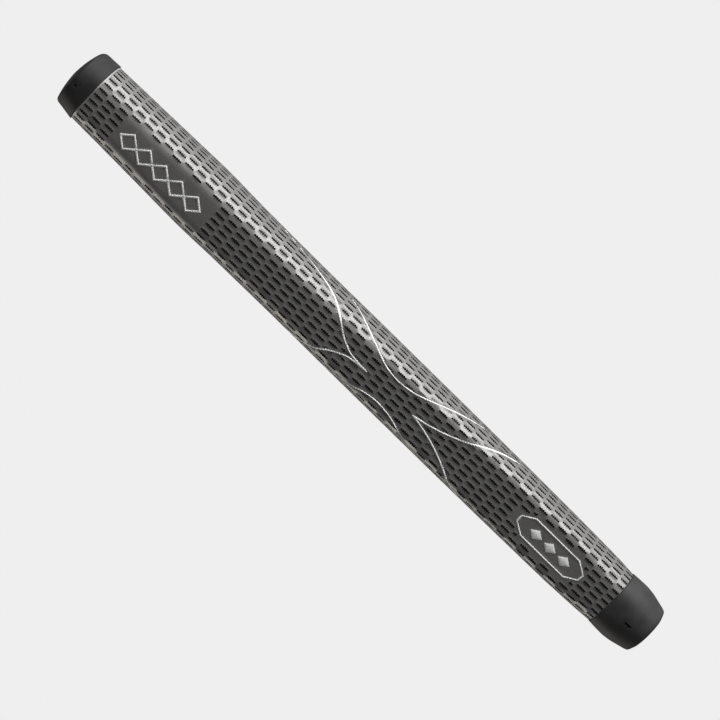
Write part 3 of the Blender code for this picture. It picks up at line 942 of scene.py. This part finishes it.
def butt_cap_rings():
    """The cap's outside from its foot to the vent, sharp-cornered in front and round behind."""
    degrees = np.degrees(np.abs((TURN + math.pi) % math.tau - math.pi))
    low, high = CORNER_TURN_DEGREES
    share = np.clip((degrees - low) / (high - low), 0.0, 1.0)
    turn = share * share * (3.0 - 2.0 * share)
    slant = BUTT_SLANT_FRONT + (BUTT_SLANT_BACK - BUTT_SLANT_FRONT) * turn
    corner = BUTT_CORNER_FRONT + (BUTT_CORNER_BACK - BUTT_CORNER_FRONT) * turn
    foot = cap_radius(WRAP_HIGH, TURN, CAP_FOOT_OVAL_SHARE)
    slant += foot - cap_radius(WRAP_HIGH, TURN, CAP_HEAD_OVAL_SHARE)
    rings = [around(foot - SMALL_ROUND, TURN, BUTT_CAP_BOTTOM)]
    wall_top = BUTT_RIM_HEIGHT - corner
    for rise in np.linspace(0.0, 1.0, BUTT_WALL_RINGS):
        height = BUTT_CAP_BOTTOM + SMALL_ROUND + (wall_top - BUTT_CAP_BOTTOM - SMALL_ROUND) * rise
        rings.append(around(foot - slant * rise, TURN, height))
    for angle in np.radians(CORNER_DEGREES):
        radius = foot - slant - corner * (1.0 - math.cos(angle))
        rings.append(around(radius, TURN, BUTT_RIM_HEIGHT - corner * (1.0 - math.sin(angle))))
    edge_radius, edge_height = radius, rings[-1][:, 2]
    for inward in CROWN_SHARES:
        height = edge_height + (GRIP_LENGTH - edge_height) * (1.0 - inward**2)
        rings.append(around(edge_radius * inward, TURN, height))
    vent = ((VENT_RADIUS + SMALL_ROUND, GRIP_LENGTH), (VENT_RADIUS, GRIP_LENGTH - SMALL_ROUND))
    bore = ((VENT_RADIUS, BORE_END), (BORE_RADIUS_BUTT, BORE_END), (BORE_RADIUS_BUTT, BUTT_CAP_BOTTOM))
    return rings + [circle(*ring) for ring in vent + bore]


def mouth_cap_radius(height, angle):
    """The collar's outside: the wrap's section at its top, turning to a circle at the mouth."""
    half_width = smooth_curve(MOUTH_OUTLINE, height)[0, 0]
    top_width = MOUTH_OUTLINE[0][1]
    roundness = (1.0 - height / MOUTH_CAP_TOP) ** MOUTH_TURN_POWER
    section = cap_radius(WRAP_LOW, angle, MOUTH_OVAL_SHARE, MOUTH_CAP_PROUD)
    return half_width / top_width * (section * (1.0 - roundness) + top_width * roundness)


def mouth_cap_rings():
    """The collar from its top down the outside, round the lip and up the bore."""
    corner = MOUTH_OUTLINE[MOUTH_CORNER][0]
    wall = np.linspace(MOUTH_CAP_TOP, corner, MOUTH_WALL_RINGS)
    lip = np.linspace(corner, 0.0, MOUTH_LIP_RINGS)
    top = mouth_cap_radius(MOUTH_CAP_TOP, TURN)
    rings = [around(top - SMALL_ROUND, TURN, MOUTH_CAP_TOP)]
    rings.append(around(top, TURN, MOUTH_CAP_TOP - SMALL_ROUND))
    for height in (*wall[1:], *lip[1:]):
        rings.append(around(mouth_cap_radius(height, TURN), TURN, height))
    bore = ((bore_radius(0.0), SMALL_ROUND), (bore_radius(MOUTH_CAP_TOP), MOUTH_CAP_TOP))
    return rings + [circle(*ring) for ring in bore]


def cut_mark(body, cutter_size, height, surface_distance, round_mark):
    """Sinks a small mark into the front of a cap and leaves a plain mesh."""
    if round_mark:
        bpy.ops.mesh.primitive_cylinder_add(vertices=32, radius=0.5, depth=1.0)
    else:
        bpy.ops.mesh.primitive_cube_add(size=1.0)
    cutter = bpy.context.object
    turn = Matrix.Rotation(math.radians(90), 4, "X") if round_mark else Matrix.Identity(4)
    size = Matrix.Diagonal((*cutter_size, 1.0))
    cutter.data.transform(size @ turn)
    cutter.location = (0.0, -surface_distance, height)
    if not round_mark:
        bevel = cutter.modifiers.new("soft", "BEVEL")
        bevel.width = SMALL_ROUND
        bevel.segments = 3
    cut = body.modifiers.new("mark", "BOOLEAN")
    cut.operation = "DIFFERENCE"
    cut.solver = "EXACT"
    cut.object = cutter
    bpy.context.view_layer.update()
    evaluated = body.evaluated_get(bpy.context.evaluated_depsgraph_get())
    mesh = bpy.data.meshes.new_from_object(evaluated)
    body.modifiers.clear()
    body.data = mesh
    bpy.data.objects.remove(cutter)
    mesh.shade_smooth()
    mesh.set_sharp_from_angle(angle=math.radians(SHARP_DEGREES))


def make_caps(material):
    rings = butt_cap_rings()
    faces = ring_faces(len(rings), CAP_SIDES)
    points = np.vstack(rings)
    butt = add_piece("butt_cap_moulding", points, faces, [material], ["butt_cap"])
    share = (DOT_HEIGHT - BUTT_CAP_BOTTOM) / (BUTT_RIM_HEIGHT - BUTT_CAP_BOTTOM)
    distance = cap_radius(WRAP_HIGH, 0.0, CAP_FOOT_OVAL_SHARE)[0] - BUTT_SLANT_FRONT * share
    cut_mark(butt, (2.0 * DOT_RADIUS, 2.0 * MARK_DEPTH, 2.0 * DOT_RADIUS), DOT_HEIGHT, distance, True)
    rings = mouth_cap_rings()
    faces = [face[::-1] for face in ring_faces(len(rings), CAP_SIDES)]
    points = np.vstack(rings)
    mouth = add_piece("mouth_cap_moulding", points, faces, [material], ["mouth_cap"])
    distance = mouth_cap_radius(SLOT_HEIGHT, 0.0)[0]
    cut_mark(mouth, (SLOT_WIDTH, 2.0 * MARK_DEPTH, SLOT_LENGTH), SLOT_HEIGHT, distance, False)


def make_core(material):
    rings = []
    for height in np.linspace(WRAP_LOW, WRAP_HIGH, CORE_RINGS):
        rings.append(around(section_radius(height, TURN, CORE_INSET), TURN, height))
    rings += [circle(bore_radius(height), height) for height in (WRAP_HIGH, WRAP_LOW)]
    faces = ring_faces(len(rings), CAP_SIDES)
    add_piece("core_sleeve_foam", np.vstack(rings), faces, [material], ["core_sleeve"])


def make_seam(material):
    """The adhesive bead along the back, a little uneven as it was squeezed in."""
    heights = np.linspace(WRAP_LOW, WRAP_HIGH, SEAM_BEAD_ROWS)
    backs = smooth_curve(PROFILE, heights)[:, 1]
    half = 0.5 * SEAM_BEAD_WIDTH
    wander = np.cumsum(rng.normal(0.0, 1.0, len(heights)))
    wander -= wander.mean()
    wander /= np.abs(wander).max()
    points = []
    for height, back, drift in zip(heights, backs, wander):
        top = back - SEAM_BEAD_SINK - SEAM_BEAD_UNEVENNESS * (1.0 + drift)
        for across, drop in SEAM_BEAD_SHAPE:
            points.append((half * across, top - SEAM_BEAD_ROUND * drop, height))
        bottom = back - CORE_INSET + GAP
        points += [(half, bottom, height), (-half, bottom, height)]
    sides = len(SEAM_BEAD_SHAPE) + 2
    faces = [face[::-1] for face in ring_faces(len(heights), sides)[:-sides]]
    faces += [tuple(range(sides)), tuple(reversed(range(len(points) - sides, len(points))))]
    add_piece("back_seam_strip", points, faces, [material], ["back_seam_bead"])


# ---- materials


class Shader:
    """A Principled material and the few node chains that the finishes share."""

    def __init__(self, name, colour, roughness, specular=0.5):
        self.material = bpy.data.materials.new(name)
        self.material.use_nodes = True
        self.tree = self.material.node_tree
        self.shader = self.tree.nodes["Principled BSDF"]
        self.set("Base Color", colour)
        self.set("Roughness", roughness)
        self.set("Specular IOR Level", specular)
        self.coords = self.node("ShaderNodeTexCoord").outputs["Object"]

    def feed(self, socket, source):
        """Gives an input a number, a colour or a vector, or links it to another node's output."""
        if isinstance(source, bpy.types.NodeSocket):
            self.tree.links.new(source, socket)
        else:
            socket.default_value = (*source, 1.0) if socket.type == "RGBA" else source

    def set(self, name, source):
        self.feed(self.shader.inputs[name], source)

    def node(self, kind, **sources):
        """A node with its inputs fed; an input's name has _ where Blender's has a space."""
        node = self.tree.nodes.new(kind)
        for name, source in sources.items():
            self.feed(node.inputs[name.replace("_", " ")], source)
        return node

    def noise(self, size, detail=2.0, stretch=(1.0, 1.0, 1.0)):
        """Noise whose features are about size metres across."""
        mapped = self.node("ShaderNodeMapping", Vector=self.coords, Scale=stretch).outputs["Vector"]
        node = self.node("ShaderNodeTexNoise", Vector=mapped, Scale=1.0 / size, Detail=detail)
        return node.outputs["Fac"]

    def spread(self, source, low, high, ends=(0.3, 0.7)):
        """A factor between ends turned into a value between low and high."""
        start, end = ends
        limits = {"From_Min": start, "From_Max": end, "To_Min": low, "To_Max": high}
        return self.node("ShaderNodeMapRange", Value=source, **limits).outputs["Result"]

    def above(self, height, softness, axis="Z"):
        """0 below a place on an axis of the row frame and 1 above it, over a short way."""
        split = self.node("ShaderNodeSeparateXYZ", Vector=self.coords)
        return self.spread(split.outputs[axis], 0.0, 1.0, ends=(height, height + softness))

    def add(self, first, second):
        node = self.node("ShaderNodeMath")
        self.feed(node.inputs[0], first)
        self.feed(node.inputs[1], second)
        return node.outputs["Value"]

    def blend(self, factor, first, second):
        """Two colours, or the links of them, mixed by a factor."""
        node = self.node("ShaderNodeMix")
        node.data_type = "RGBA"
        self.feed(node.inputs["Factor"], factor)
        colours = [socket for socket in node.inputs if socket.type == "RGBA"]
        for socket, colour in zip(colours, (first, second)):
            self.feed(socket, colour)
        return [socket for socket in node.outputs if socket.type == "RGBA"][0]

    def mottle(self, source, first, second):
        """Two colours mixed by a noise."""
        return self.blend(self.spread(source, 0.0, 1.0), first, second)

    def bump(self, *layers):
        """Bumps, each (height, strength, depth in metres), laid over one another."""
        normal = self.shader.inputs["Normal"]
        for height, strength, depth in layers:
            node = self.node("ShaderNodeBump", Height=height, Strength=strength, Distance=depth)
            if normal.is_linked:
                self.feed(node.inputs["Normal"], normal.links[0].from_socket)
            self.feed(normal, node.outputs["Normal"])


def skin_material():
    made = Shader("charcoal_polymer_skin", (0.10, 0.098, 0.095), 0.44)
    grain = made.noise(0.00055, 3.0)
    fine = made.noise(0.00018)
    colour = made.mottle(made.noise(0.006, 3.0), (0.088, 0.086, 0.083), (0.112, 0.110, 0.106))
    colour = made.blend(made.spread(grain, 0.0, 0.5), colour, (0.125, 0.122, 0.117))
    # A lighter band along the sheet's top edge by the butt cap: a painted highlight where the edge
    # catches the light
    top_edge_painted_highlight = made.above(WRAP_TOP - PAINTED_HIGHLIGHT_EDGE_WIDTH, 0.0001)
    made.set("Base Color", made.blend(top_edge_painted_highlight, colour, (0.24, 0.235, 0.23)))
    dull_back = made.spread(made.above(0.0, 0.006, axis="Y"), 0.0, DULL_BACK, ends=(0.0, 1.0))
    made.set("Roughness", made.add(made.spread(grain, 0.34, 0.44), dull_back))
    made.bump((grain, 0.65, 0.00004), (fine, 0.6, 0.000016))
    return made.material


def rubber_material():
    """The mouth cap's rubber is painted lighter than the butt cap's: painted light for the slanted mouth
    cap, which the lights reach more.
    """
    made = Shader("moulded_black_rubber", (0.02, 0.02, 0.0205), 0.6, specular=0.16)
    cloud = made.noise(0.004, 4.0)
    colour = made.mottle(cloud, (0.014, 0.014, 0.0145), (0.022, 0.0215, 0.0215))
    mouth_cap_painted_light = made.mottle(cloud, (0.021, 0.021, 0.0212), (0.031, 0.0305, 0.0305))
    # Below 0.1 m, on the mouth cap, the lighter colours are painted light
    made.set("Base Color", made.blend(made.above(0.1, 0.01), mouth_cap_painted_light, colour))
    made.set("Roughness", made.spread(cloud, 0.58, 0.70))
    made.bump((made.noise(0.00035), 0.35, 0.00002))
    return made.material


def paint_material():
    """Off-white paint, worn through in specks."""
    made = Shader("satin_white_paint", (0.8, 0.8, 0.77), 0.38)
    speck = made.noise(0.0004, 3.0)
    colour = made.mottle(made.noise(0.003, 3.0), (0.60, 0.60, 0.58), (0.70, 0.70, 0.675))
    worn = made.spread(speck, 0.0, 1.0, ends=(0.66, 0.78))
    made.set("Base Color", made.blend(worn, colour, (0.38, 0.375, 0.36)))
    made.set("Roughness", made.spread(speck, 0.42, 0.56))
    made.bump((speck, 0.3, 0.000015))
    return made.material


def plain_material(name, noise, colours, roughness, bump, specular=0.5):
    """A finish whose colour, roughness and relief follow one noise."""
    middle = tuple(np.mean(colours, axis=0))
    made = Shader(name, middle, sum(roughness) / 2.0, specular)
    source = made.noise(*noise)
    made.set("Base Color", made.mottle(source, *colours))
    made.set("Roughness", made.spread(source, *roughness))
    made.bump((source, *bump))
    return made.material


def painted_shade_recess_material():
    """The dashes' floors and walls are painted darker than the land: painted shade down in the dashes.
    """
    colours = ((0.010, 0.0098, 0.0095), (0.026, 0.0255, 0.0245))
    name = "charcoal_polymer_recess_painted_shade"
    return plain_material(name, (0.0004, 3.0), colours, (0.58, 0.74), (0.5, 0.00003), 0.25)


def painted_shade_ghost_material():
    """Where paint crosses the dashes they were only half pressed in. Their floors and walls are painted
    darker than the land: lighter painted shade than in full dashes.
    """
    colours = ((0.036, 0.0355, 0.0345), (0.070, 0.0685, 0.067))
    name = "charcoal_polymer_half_pressed_painted_shade"
    return plain_material(name, (0.0004, 3.0), colours, (0.48, 0.62), (0.5, 0.00003))


def core_material():
    colours = ((0.018, 0.018, 0.019), (0.045, 0.044, 0.046))
    return plain_material("foamed_core_rubber", (0.0006, 4.0), colours, (0.72, 0.92), (0.6, 0.00012))


def felt_material():
    """Felt, its fibres drawn out along the grip."""
    colours = ((0.11, 0.11, 0.118), (0.21, 0.21, 0.22))
    fibres = (0.0005, 5.0, (1.0, 1.0, 0.35))
    return plain_material("grey_backing_felt", fibres, colours, (0.88, 0.98), (0.8, 0.00015))


def seam_material():
    """Smooth adhesive, its streaks drawn out along the seam."""
    colours = ((0.028, 0.028, 0.029), (0.046, 0.045, 0.045))
    streaks = (0.0015, 3.0, (1.0, 1.0, 0.3))
    return plain_material("seam_adhesive_strip", streaks, colours, (0.34, 0.52), (0.4, 0.00005))


# ---- stage


MIDDLE = Vector((0.0, 0.0, 0.5 * (cad_low.z + cad_high.z)))


def direction(azimuth, elevation):
    """The unit direction from the grip towards an azimuth and an elevation in degrees."""
    a, e = math.radians(azimuth), math.radians(elevation)
    return Vector((math.sin(a) * math.cos(e), -math.cos(a) * math.cos(e), math.sin(e)))


def place_camera():
    back = direction(CAMERA_AZIMUTH, CAMERA_ELEVATION)
    right = direction(CAMERA_AZIMUTH + 90.0, 0.0)
    up = back.cross(right)
    roll = math.radians(CAMERA_ROLL)
    image_right = math.cos(roll) * right - math.sin(roll) * up
    image_up = math.sin(roll) * right + math.cos(roll) * up
    data = bpy.data.cameras.new("camera")
    data.lens = CAMERA_LENS
    data.sensor_width = 36.0
    data.clip_start = 0.05
    data.clip_end = 50.0
    camera = bpy.data.objects.new("camera", data)
    bpy.context.scene.collection.objects.link(camera)
    place = Matrix((image_right, image_up, back)).transposed().to_4x4()
    aim = MIDDLE + CAMERA_NUDGE[0] * image_right + CAMERA_NUDGE[1] * image_up
    place.translation = aim + CAMERA_DISTANCE * back
    camera.matrix_world = place
    bpy.context.scene.camera = camera


def add_softbox(name, azimuth, elevation, size, power, colour):
    """A soft rectangular light that faces the grip's middle and doesn't show itself."""
    data = bpy.data.lights.new(name, "AREA")
    data.shape = "RECTANGLE"
    data.size, data.size_y = size
    data.energy = power
    data.color = colour
    light = bpy.data.objects.new(name, data)
    away = direction(azimuth, elevation)
    light.location = MIDDLE + SOFTBOX_DISTANCE * away
    light.rotation_mode = "QUATERNION"
    light.rotation_quaternion = away.to_track_quat("Z", "Y")
    light.visible_camera = False
    bpy.context.scene.collection.objects.link(light)


def make_stage():
    """A pale floor and surroundings, dimmer as a light than they look, and two softboxes."""
    world = bpy.data.worlds.new("studio")
    bpy.context.scene.world = world
    world.use_nodes = True
    tree = world.node_tree
    seen = tree.nodes["Background"]
    seen.inputs["Color"].default_value = (*BACKDROP, 1.0)
    dim = tree.nodes.new("ShaderNodeBackground")
    dim.inputs["Color"].default_value = (1.0, 1.0, 1.0, 1.0)
    dim.inputs["Strength"].default_value = AMBIENT
    path = tree.nodes.new("ShaderNodeLightPath")
    mix = tree.nodes.new("ShaderNodeMixShader")
    sources = (path.outputs["Is Camera Ray"], dim.outputs[0], seen.outputs[0])
    for socket, source in zip(mix.inputs, sources):
        tree.links.new(source, socket)
    tree.links.new(mix.outputs[0], tree.nodes["World Output"].inputs["Surface"])
    bpy.ops.mesh.primitive_plane_add(size=FLOOR_SIZE, location=(0.0, 0.0, FLOOR_HEIGHT))
    floor = bpy.context.object
    floor.name = "floor"
    made = Shader("pale_floor", (0.0, 0.0, 0.0), 1.0, specular=0.0)
    made.set("Emission Color", BACKDROP)
    made.set("Emission Strength", 1.0)
    floor.data.materials.append(made.material)
    floor.visible_diffuse = False
    floor.visible_glossy = False
    bpy.context.scene.view_settings.view_transform = "Standard"
    for name, settings in SOFTBOXES.items():
        add_softbox(name, *settings)


make_skin([skin_material(), painted_shade_recess_material(), painted_shade_ghost_material()])
make_paint(paint_material())
make_caps(rubber_material())
make_core(core_material())
make_seam(seam_material())
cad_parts["felt_backing"].data.materials.clear()
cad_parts["felt_backing"].data.materials.append(felt_material())
place_camera()
make_stage()
